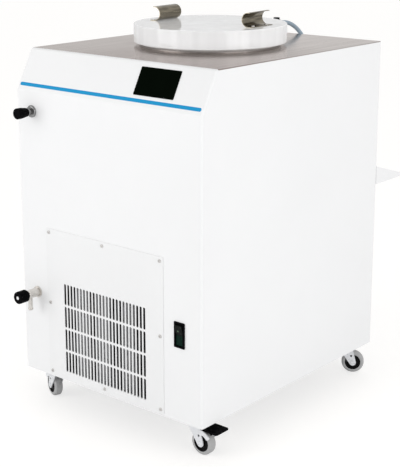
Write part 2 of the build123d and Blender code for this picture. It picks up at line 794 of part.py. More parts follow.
# ---- Evaporator coil round the pot, foam cup round both -----------------------
coil_gap = 0.2
coil_radius = pot_outer + coil_tube_radius + coil_gap
coil_low = pot_bottom + coil_rise
coil_high = coil_low + coil_turns * coil_pitch
with BuildPart() as evaporator_coil:
    with BuildLine():
        winding = Helix(pitch=coil_pitch, height=coil_turns * coil_pitch, radius=coil_radius, center=(0, 0, coil_low))
    with BuildSketch(winding ^ 0):
        Circle(coil_tube_radius)
    sweep(is_frenet=True)
save(evaporator_coil.part, "evaporator_coil")

vent_line_y = -60.0
vent_line_z = bottom + vent_z
foam_top_gap = 1.0
foam_top = top - top_sheet - foam_top_gap
with BuildPart() as insulation:
    with BuildSketch(Plane.XY.offset(pot_bottom - foam_floor)):
        Circle(foam_outer_radius)
    extrude(amount=foam_top - pot_bottom + foam_floor)
    with BuildSketch(Plane.XY.offset(pot_bottom)):
        Circle(foam_inner_radius)
    extrude(amount=chamber_depth, mode=Mode.SUBTRACT)
    with BuildSketch(Plane.XY.offset(pot_bottom)):
        Circle(pot_drain_radius + seam)
        with Locations((coil_radius, 0)):
            Circle(line_radius + seam)
    extrude(amount=-foam_floor, mode=Mode.SUBTRACT)
    with BuildSketch(Plane(origin=(0, vent_line_y, vent_line_z), x_dir=(0, 1, 0), z_dir=(-1, 0, 0))):
        Circle(line_radius + seam)
    extrude(amount=foam_outer_radius, mode=Mode.SUBTRACT)
    with BuildSketch(Plane(origin=(0, 0, coil_high), x_dir=(0, 1, 0), z_dir=(1, 0, 0))):
        Circle(line_radius + seam)
    extrude(amount=foam_outer_radius, mode=Mode.SUBTRACT)
    with BuildSketch(port_plane):
        Circle(port_bore + port_wall + seam)
    extrude(amount=foam_outer_radius, mode=Mode.SUBTRACT)
save(insulation.part, "insulation")

# ---- Hermetic compressor on four rubber feet ---------------------------------
feet_top = base_top + compressor_foot_height
compressor_top = feet_top + compressor_height
foot_places = [
    (compressor_x + i * compressor_foot_spacing / 2, compressor_y + j * compressor_foot_spacing / 2)
    for i in (-1, 1)
    for j in (-1, 1)
]
with BuildPart() as compressor:
    with BuildSketch(Plane.XY.offset(feet_top)):
        with Locations((compressor_x, compressor_y)):
            Circle(compressor_radius)
    extrude(amount=compressor_height)
    fillet(edges().filter_by(GeomType.CIRCLE).group_by(Axis.Z)[-1], compressor_dome)
    fillet(edges().filter_by(GeomType.CIRCLE).group_by(Axis.Z)[0], compressor_base_edge)
    with BuildSketch(Plane.XY.offset(feet_top)):
        with Locations((compressor_x, compressor_y)):
            plate_side = compressor_foot_spacing + 2 * compressor_plate_margin
            RectangleRounded(plate_side, plate_side, compressor_plate_margin)
    extrude(amount=compressor_plate)
save(compressor.part, "compressor")

with BuildPart() as compressor_feet:
    with BuildSketch(Plane.XY.offset(base_top)):
        with Locations(*foot_places):
            Circle(compressor_foot_radius)
    extrude(amount=compressor_foot_height)
save(compressor_feet.part, "compressor_feet")

# ---- Condenser: fins on one serpentine tube, fan behind -----------------------
fins_front = front + sheet + condenser_gap
fins_back = fins_front + condenser_depth
fins_low = base_top + condenser_z - base_sheet - sheet
fins_centre_z = fins_low + condenser_height / 2
tube_y = (fins_front + fins_back) / 2
pass_heights = [
    fins_centre_z + (i - (condenser_passes - 1) / 2) * condenser_tube_pitch for i in range(condenser_passes)
]
fin_count = int(condenser_width / fin_pitch) + 1
with BuildPart() as condenser_fins:
    for i in range(fin_count):
        fin_x = grille_x + (i - (fin_count - 1) / 2) * fin_pitch
        fin_plane = Plane(origin=(fin_x, tube_y, 0), x_dir=(0, 1, 0), z_dir=(1, 0, 0))
        with BuildSketch(fin_plane):
            with Locations((0, fins_centre_z)):
                Rectangle(condenser_depth, condenser_height)
            with Locations(*[(0, z) for z in pass_heights]):
                Circle(condenser_tube_radius + fin_clearance, mode=Mode.SUBTRACT)
        extrude(amount=fin_thickness)
    with BuildSketch(Plane.XY.offset(base_top)):
        with Locations((grille_x, tube_y)):
            Rectangle(condenser_width + fin_thickness, condenser_depth)
    extrude(amount=fins_low - base_top)
save(condenser_fins.part, "condenser_fins")

bend_x = condenser_width / 2 + condenser_tube_pitch / 2 + condenser_tube_ends
tube_points = []
for i, z in enumerate(pass_heights):
    ends = (-bend_x, bend_x) if i % 2 == 0 else (bend_x, -bend_x)
    tube_points += [(grille_x + x, tube_y, z) for x in ends]
tube_end_x = tube_points[0][0]
with BuildPart() as condenser_tubes:
    with BuildLine() as tube_path:
        FilletPolyline(*tube_points, radius=condenser_tube_pitch / 2 - 0.1)
    with BuildSketch(tube_path.line ^ 0):
        Circle(condenser_tube_radius)
    sweep()
save(condenser_tubes.part, "condenser_tubes")

shroud_plane = Plane(origin=(grille_x, fins_back + seam, fins_centre_z), x_dir=(-1, 0, 0), z_dir=(0, 1, 0))
shroud_wall = 1.5
shaft_hole_gap = 2.0
motor_ring = motor_radius + 4.0
arm_overlap = 4.0
ring_arm_width = 10.0
with BuildPart() as fan_shroud:
    with BuildSketch(shroud_plane):
        Rectangle(condenser_width, condenser_height)
        Rectangle(condenser_width - 2 * shroud_wall, condenser_height - 2 * shroud_wall, mode=Mode.SUBTRACT)
    extrude(amount=shroud_depth)
    with BuildSketch(shroud_plane.offset(shroud_depth)):
        Rectangle(condenser_width, condenser_height)
        Circle(fan_radius + fan_ring_clearance, mode=Mode.SUBTRACT)
        Circle(motor_ring)
        with PolarLocations((fan_radius + motor_ring) / 2, 3):
            Rectangle(fan_radius - motor_ring + 2 * fan_ring_clearance + arm_overlap, ring_arm_width)
        Circle(motor_shaft_radius + shaft_hole_gap, mode=Mode.SUBTRACT)
    extrude(amount=shroud_wall)
save(fan_shroud.part, "fan_shroud")

motor_front = shroud_depth + shroud_wall
fan_reach = 9.0              # shaft in front of the shroud's back plate
with BuildPart() as fan_motor:
    with BuildSketch(shroud_plane.offset(motor_front)):
        Circle(motor_radius)
    extrude(amount=motor_length)
    fillet(edges().filter_by(GeomType.CIRCLE).sort_by(Axis.Y)[-1], 6.0)
    with BuildSketch(shroud_plane.offset(motor_front)):
        Circle(motor_shaft_radius)
    extrude(amount=-shroud_wall - fan_reach)
save(fan_motor.part, "fan_motor")

blade_pitch = 24.0
blade_chord = 40.0
blade_sheet = 1.6
blade_tip_gap = 4.0
blade_corner = 10.0
shaft_end_gap = 0.5
blade_tip = fan_radius - blade_tip_gap
blade_root = 3.0
fan_back_gap = 2.0
fan_hub_length = 17.0
fan_blade_out = shroud_depth - fan_back_gap - fan_hub_length / 2
with BuildPart() as fan_blade:
    with BuildSketch(shroud_plane.offset(shroud_depth - fan_back_gap)):
        Circle(fan_hub_radius)
    extrude(amount=-fan_hub_length)
    for i in range(fan_blades):
        turned = math.radians(360 / fan_blades * i)
        outward = shroud_plane.x_dir * math.cos(turned) + shroud_plane.y_dir * math.sin(turned)
        sideways = shroud_plane.z_dir.cross(outward)
        lean = math.radians(blade_pitch)
        tilted = Plane(
            origin=shroud_plane.offset(fan_blade_out).origin,
            x_dir=outward,
            z_dir=shroud_plane.z_dir * math.cos(lean) + sideways * math.sin(lean),
        )
        with BuildSketch(tilted):
            with Locations(((fan_hub_radius + blade_tip) / 2 - blade_root, 0)):
                RectangleRounded(blade_tip - fan_hub_radius + 2 * blade_root, blade_chord, blade_corner)
        extrude(amount=blade_sheet / 2, both=True)
    with BuildSketch(shroud_plane.offset(shroud_depth)):
        Circle(motor_shaft_radius + valve_running)
    extrude(amount=-fan_reach - shaft_end_gap - shroud_wall, mode=Mode.SUBTRACT)
save(fan_blade.part, "fan_blade")

# ---- Refrigerant lines and filter drier ---------------------------------------
line_x = -190.0
drier_y = -100.0
loop_y = 240.0
loop_x = 215.0
suction = [
    (compressor_x + 52, compressor_y, compressor_top), (compressor_x + 52, compressor_y, 400),
    (coil_radius, 0, 400), (coil_radius, 0, coil_low - coil_tube_radius - seam),
]
hot_gas = [
    (compressor_x - 52, compressor_y, compressor_top), (compressor_x - 52, compressor_y, pass_heights[-1]),
    (line_x, compressor_y, pass_heights[-1]), (line_x, tube_y, pass_heights[-1]),
    (tube_end_x, tube_y, pass_heights[-1]),
]
liquid_low = [
    (tube_end_x, tube_y, pass_heights[0]), (line_x, tube_y, pass_heights[0]), (line_x, drier_y, pass_heights[0]),
]
liquid_high = [
    (line_x, drier_y + drier_length, pass_heights[0]), (line_x, loop_y, pass_heights[0]),
    (loop_x, loop_y, pass_heights[0]), (loop_x, loop_y, coil_high), (loop_x, 0, coil_high),
    (coil_radius + coil_tube_radius + seam, 0, coil_high),
]
with BuildPart() as refrigerant_lines:
    for route in (suction, hot_gas, liquid_low, liquid_high):
        with BuildLine() as route_line:
            FilletPolyline(*route, radius=18.0)
        with BuildSketch(route_line.line ^ 0):
            Circle(line_radius)
        sweep(path=route_line.line)
save(refrigerant_lines.part, "refrigerant_lines")

drier_plane = Plane(origin=(line_x, drier_y, pass_heights[0]), x_dir=(1, 0, 0), z_dir=(0, 1, 0))
with BuildPart() as filter_drier:
    with BuildSketch(drier_plane):
        Circle(drier_radius)
    extrude(amount=drier_length)
    chamfer(edges().filter_by(GeomType.CIRCLE), 8.0)
save(filter_drier.part, "filter_drier")

# ---- Silicone lines from the chamber to the vent and drain valves -------------
valve_end_y = front + valve_bushing_length
low_run_z = 450.0
vent_route = [(valve_x, valve_end_y, vent_line_z), (valve_x, vent_line_y, vent_line_z), (-137.6, vent_line_y, vent_line_z)]
drain_route = [
    (valve_x, valve_end_y, bottom + drain_z), (valve_x, -200.0, bottom + drain_z), (valve_x, -200.0, low_run_z),
    (0, 0, low_run_z), (0, 0, pot_bottom - pot_drain_length),
]
with BuildPart() as chamber_lines:
    for route in (vent_route, drain_route):
        with BuildLine() as route_line:
            FilletPolyline(*route, radius=25.0)
        with BuildSketch(route_line.line ^ 0):
            Circle(line_radius)
        sweep(path=route_line.line)
save(chamber_lines.part, "chamber_lines")

# ---- Mains inlet in the rear panel: a recessed plug with three pins -----------
inlet_body = 24.0
inlet_wall = 2.5
inlet_pin = 12.0
inlet_plane = Plane(origin=(inlet_x, rear_face, bottom + inlet_z), x_dir=(-1, 0, 0), z_dir=(0, 1, 0))
with BuildPart() as mains_inlet:
    with BuildSketch(inlet_plane):
        RectangleRounded(inlet_width, inlet_height, 3.0)
    extrude(amount=inlet_flange)
    with BuildSketch(inlet_plane):
        Rectangle(inlet_hole_width - 2 * screw_clearance, inlet_hole_height - 2 * screw_clearance)
    extrude(amount=-inlet_body)
    with BuildSketch(inlet_plane.offset(inlet_flange)):
        Rectangle(inlet_hole_width - 2 * inlet_wall, inlet_hole_height - 2 * inlet_wall)
    extrude(amount=-inlet_body, mode=Mode.SUBTRACT)
    with BuildSketch(inlet_plane.offset(inlet_flange - inlet_body)):
        with Locations((-7.0, -2.0), (0, 3.0), (7.0, -2.0)):
            Rectangle(2.0, 5.0)
    extrude(amount=inlet_pin)
save(mains_inlet.part, "mains_inlet")

# ---- Vacuum port: stainless tube from the pot out through the back ------------
port_end = rear_face + port_reach
with BuildPart() as vacuum_port:
    with BuildSketch(port_plane):
        Circle(port_bore + port_wall)
    extrude(amount=port_end)
    with BuildSketch(port_plane.offset(port_end - port_flange)):
        Circle(port_flange_radius)
    extrude(amount=port_flange)
    with BuildSketch(port_plane):
        Circle(port_bore)
    extrude(amount=port_end, mode=Mode.SUBTRACT)
    with BuildSketch(Plane.XY.offset(pot_bottom)):
        Circle(pot_outer)
    extrude(amount=chamber_depth, mode=Mode.SUBTRACT)
save(vacuum_port.part, "vacuum_port")

# ---- Pump hose between two push-in elbows ------------------------------------
fitting_stem = 12.0
top_fitting = Plane(origin=(hose_x, hose_y, top), x_dir=(0, 1, 0), z_dir=(0, 0, 1))
rear_fitting = Plane(origin=(hose_rear_x, rear_face, bottom + fitting_rear_z), x_dir=(0, 0, 1), z_dir=(0, 1, 0))
with BuildPart() as hose_elbows:
    for base in (top_fitting, rear_fitting):
        outlet = Plane(
            origin=base.from_local_coords(Vector(0, 0, fitting_height)), x_dir=base.z_dir, z_dir=base.x_dir
        )
        with BuildSketch(base):
            RegularPolygon(fitting_hex / 2, 6, major_radius=False)
        extrude(amount=fitting_base)
        with BuildSketch(base):
            Circle(fitting_radius)
        extrude(amount=fitting_height + fitting_cap)
        with BuildSketch(outlet):
            Circle(fitting_radius)
        extrude(amount=fitting_outlet)
        with BuildSketch(base):
            Circle(line_radius)
        extrude(amount=-fitting_stem)
    rims = edges().filter_by(GeomType.CIRCLE).filter_by(lambda e: abs(e.radius - fitting_radius) < 0.01)
    tips = [base.from_local_coords(Vector(0, 0, fitting_height + fitting_cap)) for base in (top_fitting, rear_fitting)]
    tips += [base.from_local_coords(Vector(fitting_outlet, 0, fitting_height)) for base in (top_fitting, rear_fitting)]
    fillet([e for e in rims if min((e.arc_center - tip).length for tip in tips) < 0.01], 1.2)
save(hose_elbows.part, "hose_elbows")

hose_start = Vector(hose_x, hose_y + fitting_outlet, top + fitting_height)
hose_end = Vector(hose_rear_x, rear_face + fitting_height, bottom + hose_end_z)
hose_points = [
    hose_start,
    hose_start + Vector(0, 28.0, 0),
    hose_start + Vector(7.0, 56.3, -14.4),
    hose_start + Vector(15.0, 78.5, -40.4),
    hose_end + Vector(-1.0, 2.3, 56.0),
    hose_end + Vector(0, 0, 26.0),
    hose_end,
]


def bend_radii(points):
    """Largest even bend radius at each inner corner of a route."""
    radii = []
    for before, here, after in zip(points, points[1:], points[2:]):
        into = here - before
        out = after - here
        half_bend = math.radians(into.get_angle(out)) / 2
        radii.append(0.45 * min(into.length, out.length) / math.tan(half_bend))
    return radii


print("hose bend radii", [round(r, 1) for r in bend_radii(hose_points)])
with BuildPart() as hose:
    with BuildLine() as hose_line:
        FilletPolyline(*hose_points, radius=bend_radii(hose_points))
    with BuildSketch(hose_line.line ^ 0):
        Circle(hose_radius)
    sweep()
print("hose length", round(hose_line.wire().length, 1))
save(hose.part, "hose")

# ---- Castors: plates bolted under the base, forks swivelling on kingpins ------
castor_turns = {"front_left": 159.5, "front_right": 0.0, "rear_left": 72.5, "rear_right": 32.0}
plate_low = base_low - castor_plate_thickness
crown_top = plate_low - fork_gap
crown_low = crown_top - fork_sheet
race_radius = 20.0
bolt_head_radius = 5.0
bolt_head = 2.0
with BuildPart() as castor_plates:
    with BuildSketch(Plane.XY.offset(plate_low)):
        with Locations(*castor_places.values()):
            RectangleRounded(castor_plate, castor_plate, 5.0)
            with GridLocations(castor_bolt_spacing, castor_bolt_spacing, 2, 2):
                Circle(castor_bolt_radius + screw_clearance, mode=Mode.SUBTRACT)
    extrude(amount=castor_plate_thickness)
    with BuildSketch(Plane.XY.offset(crown_top + seam)):
        with Locations(*castor_places.values()):
            Circle(race_radius)
    extrude(amount=fork_gap - seam)
    with BuildSketch(Plane.XY.offset(crown_top)):
        with Locations(*castor_places.values()):
            Circle(kingpin_radius + axle_running)
    extrude(amount=base_low - crown_top, mode=Mode.SUBTRACT)
save(castor_plates.part, "castor_plates")

with BuildPart() as castor_bolts:
    for level, size, height in (
        (plate_low - bolt_head, bolt_head_radius, bolt_head),
        (plate_low, castor_bolt_radius, base_top - plate_low),
        (base_top, bolt_head_radius, bolt_head),
    ):
        with BuildSketch(Plane.XY.offset(level)):
            with Locations(*castor_places.values()):
                with GridLocations(castor_bolt_spacing, castor_bolt_spacing, 2, 2):
                    Circle(size)
        extrude(amount=height)
save(castor_bolts.part, "castor_bolts")

leg_inner = wheel_width / 2 + fork_clearance
leg_outer = leg_inner + fork_sheet
crown_front = 20.0
crown_back = 16.0
leg_end_radius = 8.0
leg_hole_radius = 2.6
leg_hole_back = 4.0         # behind the axle
leg_hole_rise = 17.0        # above the axle
axle_head_radius = 5.0
axle_head = 1.6
pin_radius = 2.0
pin_drop = 8.0              # brake pin below the fork's crown
pin_z = crown_low - pin_drop
hub_side_gap = 0.7
hub_rim = 3.0
hub_recess = 2.0
hub_boss_wall = 2.0
tyre_edge = 5.0
guard_outer = 31.0          # side guards of the braked castors, over the tyre's edge
guard_inner = 20.5
guard_from = 33.0
guard_end_radius = 4.5
guard_to = 120.0
hood_start = 10.0           # hood over the tyre, under the brake pedal
hood_end = 50.0
hood_gap = 8.5
arm_gap = 1.5               # pedal's arms to the fork's legs, each side
arm_width = 2 * (leg_inner - arm_gap)
pedal_start = 34.0
with BuildSketch() as guard_sketch:
    with BuildLine():
        outer_arc = CenterArc((0, 0), guard_outer, guard_from, guard_to - guard_from)
        inner_arc = CenterArc((0, 0), guard_inner, guard_from, guard_to - guard_from)
        Line(outer_arc @ 0, inner_arc @ 0)
        Line(outer_arc @ 1, inner_arc @ 1)
    make_face()
    fillet(nearest_vertex(vertices(), tuple(outer_arc @ 0)[:2]), guard_end_radius)
    fillet(nearest_vertex(vertices(), tuple(inner_arc @ 0)[:2]), guard_end_radius)
guard = guard_sketch.sketch
for corner, (castor_x, castor_y) in castor_places.items():
    swivel = Plane(origin=(castor_x, castor_y, 0)).rotated((0, 0, castor_turns[corner]))
    leg_plane = Plane(origin=swivel.origin, x_dir=swivel.x_dir, z_dir=swivel.y_dir * -1)
    axle_spot = (castor_trail, wheel_radius)
    with BuildPart() as fork:
        with BuildSketch(leg_plane.offset(-leg_outer)):
            with Locations(((crown_front - crown_back) / 2, (crown_top + crown_low) / 2)):
                Rectangle(crown_front + crown_back, fork_sheet)
            with Locations(axle_spot):
                Circle(leg_end_radius)
            make_hull()
            if corner.startswith("front"):
                with Locations(axle_spot):
                    add(guard)
            with Locations(axle_spot):
                Circle(axle_radius + axle_running, mode=Mode.SUBTRACT)
            with Locations((castor_trail - leg_hole_back, wheel_radius + leg_hole_rise)):
                Circle(leg_hole_radius, mode=Mode.SUBTRACT)
            with Locations((pedal_pivot, pin_z)):
                Circle(pin_radius + axle_running, mode=Mode.SUBTRACT)
        extrude(amount=2 * leg_outer)
        with BuildSketch(leg_plane.offset(-leg_inner)):
            with Locations((castor_trail, crown_low / 2)):
                Rectangle(4 * crown_front, crown_low)
        extrude(amount=2 * leg_inner, mode=Mode.SUBTRACT)
        with BuildSketch(Plane.XY.offset(crown_top)):
            with Locations((castor_x, castor_y)):
                Circle(kingpin_radius)
        extrude(amount=base_low - seam - crown_top)
    save(fork.part, f"fork_{corner}")

    with BuildPart() as axle:
        with BuildSketch(leg_plane.offset(-leg_outer - axle_head)):
            with Locations(axle_spot):
                Circle(axle_head_radius)
        extrude(amount=axle_head)
        with BuildSketch(leg_plane.offset(leg_outer)):
            with Locations(axle_spot):
                Circle(axle_head_radius)
        extrude(amount=axle_head)
        fillet(edges().filter_by(GeomType.CIRCLE), 0.7)
        with BuildSketch(leg_plane.offset(-leg_outer)):
            with Locations(axle_spot):
                Circle(axle_radius)
        extrude(amount=2 * leg_outer)
    save(axle.part, f"axle_{corner}")

    hub_half = leg_inner - hub_side_gap
    with BuildPart() as hub:
        with BuildSketch(leg_plane.offset(-wheel_width / 2)):
            with Locations(axle_spot):
                Circle(hub_radius)
        extrude(amount=wheel_width)
        for face_out in (-wheel_width / 2, wheel_width / 2):
            with BuildSketch(leg_plane.offset(face_out)):
                with Locations(axle_spot):
                    Circle(hub_radius - hub_rim)
                    Circle(axle_head_radius + hub_boss_wall, mode=Mode.SUBTRACT)
            extrude(amount=-math.copysign(hub_recess, face_out), mode=Mode.SUBTRACT)
        with BuildSketch(leg_plane.offset(-hub_half)):
            with Locations(axle_spot):
                Circle(axle_head_radius + hub_boss_wall)
        extrude(amount=2 * hub_half)
        with BuildSketch(leg_plane.offset(-hub_half)):
            with Locations(axle_spot):
                Circle(axle_radius + axle_running)
        extrude(amount=2 * hub_half, mode=Mode.SUBTRACT)
    save(hub.part, f"hub_{corner}")

    with BuildPart() as tyre:
        with BuildSketch(leg_plane.offset(-wheel_width / 2)):
            with Locations(axle_spot):
                Circle(wheel_radius)
        extrude(amount=wheel_width)
        fillet(edges().filter_by(GeomType.CIRCLE), tyre_edge)
        with BuildSketch(leg_plane.offset(-wheel_width / 2)):
            with Locations(axle_spot):
                Circle(hub_radius)
        extrude(amount=wheel_width, mode=Mode.SUBTRACT)
    save(tyre.part, f"tyre_{corner}")

    if corner.startswith("rear"):
        continue
    pedal_low = pin_z - pedal_thickness / 2
    with BuildPart() as brake_pedal:
        with BuildSketch(swivel.offset(pedal_low)):
            with Locations(((pedal_start + pedal_reach) / 2, 0)):
                RectangleRounded(pedal_reach - pedal_start, pedal_width, 4.0)
            with Locations(((pedal_pivot + pedal_start) / 2, 0)):
                Rectangle(pedal_start - pedal_pivot + 2.0, arm_width)
        extrude(amount=pedal_thickness)
        with BuildSketch(leg_plane.offset(-arm_width / 2)):
            with Locations((pedal_pivot, pin_z)):
                Circle(pin_radius * 2)
        extrude(amount=arm_width)
        with BuildSketch(leg_plane.offset(-arm_width / 2)):
            with Locations(((hood_start + hood_end) / 2, 2 * wheel_radius)):
                Rectangle(hood_end - hood_start, 2 * (pin_z - 2 * wheel_radius))
            with Locations(axle_spot):
                Circle(wheel_radius + hood_gap, mode=Mode.SUBTRACT)
        extrude(amount=arm_width)
        with BuildSketch(leg_plane.offset(-leg_outer)):
            with Locations((pedal_pivot, pin_z)):
                Circle(pin_radius)
        extrude(amount=2 * leg_outer)
    save(brake_pedal.part, f"brake_pedal_{corner}")
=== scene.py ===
"""Floor-standing laboratory freeze dryer on castors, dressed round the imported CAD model, in metres."""

import math

import bpy
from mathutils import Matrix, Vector


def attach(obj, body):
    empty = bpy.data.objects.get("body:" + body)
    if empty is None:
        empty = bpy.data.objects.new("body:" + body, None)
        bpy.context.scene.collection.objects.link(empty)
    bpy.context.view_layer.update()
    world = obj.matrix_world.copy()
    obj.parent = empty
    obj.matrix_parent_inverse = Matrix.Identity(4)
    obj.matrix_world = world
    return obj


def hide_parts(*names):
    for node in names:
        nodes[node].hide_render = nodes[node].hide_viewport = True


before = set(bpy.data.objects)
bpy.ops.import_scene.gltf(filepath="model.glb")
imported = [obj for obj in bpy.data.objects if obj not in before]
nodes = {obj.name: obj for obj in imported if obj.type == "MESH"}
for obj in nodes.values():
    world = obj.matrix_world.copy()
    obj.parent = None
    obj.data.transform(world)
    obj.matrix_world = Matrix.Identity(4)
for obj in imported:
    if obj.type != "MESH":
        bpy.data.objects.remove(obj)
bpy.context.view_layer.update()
bpy.ops.object.select_all(action="DESELECT")

# ---- Camera -------------------------------------------------------------------
# A long portrait lens at lid height, to the right of the front, looking slightly
# down at the machine.
camera_place = Vector((1.6954, -2.0544, 1.1454))
camera_azimuth = math.radians(40.03)
camera_pitch = math.radians(13.93)
camera_data = bpy.data.cameras.new("camera")
camera_data.lens = 91.2
camera_data.sensor_width = 36.0
camera_data.shift_y = -0.1
camera = bpy.data.objects.new("camera", camera_data)
bpy.context.scene.collection.objects.link(camera)
camera.location = camera_place
camera.rotation_euler = (math.pi / 2 - camera_pitch, 0, camera_azimuth)
bpy.context.scene.camera = camera

# ---- Pump hose ------------------------------------------------------------------
# Grey-blue polyurethane pressure tube, ten millimetres outside. It leaves the
# push-in elbow on the top level, bends over the back edge and drops into the
# elbow on the rear panel.
hose_diameter = 0.010
hose_route = [
    (0.015, 0.2425, 0.846),
    (0.015, 0.2705, 0.846),
    (0.022, 0.2988, 0.8316),
    (0.030, 0.3210, 0.8056),
    (0.034, 0.3283, 0.772),
    (0.035, 0.3260, 0.742),
    (0.035, 0.3260, 0.716),
]
hose_curve = bpy.data.curves.new("pump_hose", "CURVE")
hose_curve.dimensions = "3D"
hose_spline = hose_curve.splines.new("NURBS")
hose_spline.points.add(len(hose_route) - 1)
for point, place in zip(hose_spline.points, hose_route):
    point.co = (*place, 1.0)
hose_spline.order_u = 3
hose_spline.use_endpoint_u = True
hose_curve.resolution_u = 16
hose_curve.bevel_depth = hose_diameter / 2
hose_curve.bevel_resolution = 6
hose = bpy.data.objects.new("pump_hose", hose_curve)
bpy.context.scene.collection.objects.link(hose)


def effect(name, sliders):
    """An empty node group: a colour and sliders go in; colour, roughness and height come out."""
    group = bpy.data.node_groups.new(name, "ShaderNodeTree")
    group.interface.new_socket("Colour", in_out="INPUT", socket_type="NodeSocketColor")
    for label, value in sliders.items():
        group.interface.new_socket(label, in_out="INPUT", socket_type="NodeSocketFloat").default_value = value
    group.interface.new_socket("Colour", in_out="OUTPUT", socket_type="NodeSocketColor")
    group.interface.new_socket("Roughness", in_out="OUTPUT", socket_type="NodeSocketFloat")
    group.interface.new_socket("Height", in_out="OUTPUT", socket_type="NodeSocketFloat")
    return group, group.nodes.new("NodeGroupInput"), group.nodes.new("NodeGroupOutput")


def wire(tree, start, end):
    """Joins an output socket to an input socket."""
    tree.links.new(start, end)


def noise(tree, place, stretch, detail=3.0):
    """A noise texture over object coordinates, stretched by three factors per metre."""
    mapping = tree.nodes.new("ShaderNodeMapping")
    mapping.inputs["Scale"].default_value = stretch
    wire(tree, place, mapping.inputs["Vector"])
    texture = tree.nodes.new("ShaderNodeTexNoise")
    texture.inputs["Scale"].default_value = 1.0
    texture.inputs["Detail"].default_value = detail
    wire(tree, mapping.outputs["Vector"], texture.inputs["Vector"])
    return texture.outputs["Fac"]


def spread(tree, value, low, high, start=0.3, end=0.7):
    """Maps a value between start and end onto low to high. High and low may be sockets."""
    change = tree.nodes.new("ShaderNodeMapRange")
    wire(tree, value, change.inputs["Value"])
    change.inputs["From Min"].default_value = start
    change.inputs["From Max"].default_value = end
    for label, limit in (("To Min", low), ("To Max", high)):
        if isinstance(limit, bpy.types.NodeSocket):
            wire(tree, limit, change.inputs[label])
        else:
            change.inputs[label].default_value = limit
    return change.outputs["Result"]


def sum_of(tree, kind, first, second):
    """A maths node of that kind over two sockets or numbers."""
    node = tree.nodes.new("ShaderNodeMath")
    node.operation = kind
    for socket, value in zip(node.inputs, (first, second)):
        if isinstance(value, bpy.types.NodeSocket):
            wire(tree, value, socket)
        elif value is not None:
            socket.default_value = value
    return node.outputs[0]


def dim(tree, colour, factor):
    """A colour multiplied by a changing factor."""
    node = tree.nodes.new("ShaderNodeVectorMath")
    node.operation = "SCALE"
    wire(tree, colour, node.inputs[0])
    wire(tree, factor, node.inputs["Scale"])
    return node.outputs[0]


def blend_colour(tree, factor, under, over):
    """The under colour with the over colour laid on it by the factor."""
    node = tree.nodes.new("ShaderNodeMix")
    node.data_type = "RGBA"
    wire(tree, factor, node.inputs["Factor"])
    for socket, value in ((node.inputs[6], under), (node.inputs[7], over)):
        if isinstance(value, bpy.types.NodeSocket):
            wire(tree, value, socket)
        else:
            socket.default_value = (*value, 1.0)
    return node.outputs[2]


def object_place(tree):
    """The place in object coordinates."""
    return tree.nodes.new("ShaderNodeTexCoord").outputs["Object"]


# Extruded tube: faint lengthwise drawing marks and a slightly greasy bloom.
tube_skin, tube_in, tube_out = effect("extruded_tube", {"Bloom": 0.10, "Gloss low": 0.22, "Gloss high": 0.38})
tube_place = object_place(tube_skin)
tube_marks = noise(tube_skin, tube_place, (900, 900, 60))
tube_cloud = noise(tube_skin, tube_place, (38, 38, 38))
tube_bloom = sum_of(tube_skin, "SUBTRACT", 1.0, tube_in.outputs["Bloom"])
wire(tube_skin, dim(tube_skin, tube_in.outputs["Colour"], spread(tube_skin, tube_cloud, 1.0, tube_bloom)),
     tube_out.inputs["Colour"])
wire(tube_skin, spread(tube_skin, tube_cloud, tube_in.outputs["Gloss low"], tube_in.outputs["Gloss high"]),
     tube_out.inputs["Roughness"])
wire(tube_skin, tube_marks, tube_out.inputs["Height"])


def finish(name, group, colour, sliders=None, relief=0.1, depth=0.0002, **constants):
    """A Principled material fed by an effect group, with its fixed values set on the shader's own sockets."""
    material = bpy.data.materials.new(name)
    material.use_nodes = True
    tree = material.node_tree
    shader = tree.nodes["Principled BSDF"]
    skin = tree.nodes.new("ShaderNodeGroup")
    skin.node_tree = group
    skin.name = "skin"
    skin.inputs["Colour"].default_value = (*colour, 1.0)
    for label, value in (sliders or {}).items():
        skin.inputs[label].default_value = value
    bump = tree.nodes.new("ShaderNodeBump")
    bump.inputs["Strength"].default_value = relief
    bump.inputs["Distance"].default_value = depth
    wire(tree, skin.outputs["Height"], bump.inputs["Height"])
    wire(tree, bump.outputs["Normal"], shader.inputs["Normal"])
    wire(tree, skin.outputs["Colour"], shader.inputs["Base Color"])
    wire(tree, skin.outputs["Roughness"], shader.inputs["Roughness"])
    for label, value in constants.items():
        shader.inputs[label.replace("_", " ")].default_value = value
    return material


def coat(material, *pieces):
    """Gives the pieces this one material."""
    for piece in pieces:
        piece = nodes[piece] if isinstance(piece, str) else piece
        piece.data.materials.clear()
        piece.data.materials.append(material)


hose_material = finish("hose_polyurethane", tube_skin, (0.30, 0.38, 0.45), relief=0.15, IOR=1.5)
coat(hose_material, hose)
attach(hose, "cabinet")
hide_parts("hose")

# ---- Studio ---------------------------------------------------------------------
# A white floor that keeps the machine's soft shadow, a white surround and plain
# soft light.
bpy.ops.mesh.primitive_plane_add(size=40.0, location=(0, 0, -0.0005))
floor = bpy.context.object
floor.name = "studio_floor"
floor_material = bpy.data.materials.new("studio_floor")
floor_material.use_nodes = True
floor_tree = floor_material.node_tree
floor_shader = floor_tree.nodes["Principled BSDF"]
floor_shader.inputs["Roughness"].default_value = 0.9
floor_shader.inputs["Specular IOR Level"].default_value = 0.1
floor_ray = floor_tree.nodes.new("ShaderNodeLightPath")
floor_glow = floor_tree.nodes.new("ShaderNodeMath")
floor_glow.operation = "MULTIPLY"
floor_glow.inputs[1].default_value = 0.66
floor_tree.links.new(floor_ray.outputs["Is Camera Ray"], floor_glow.inputs[0])
floor_tree.links.new(floor_glow.outputs[0], floor_shader.inputs["Emission Strength"])
floor_tone = floor_tree.nodes.new("ShaderNodeMix")
floor_tone.data_type = "RGBA"
floor_tone.inputs[6].default_value = (0.92, 0.92, 0.92, 1)
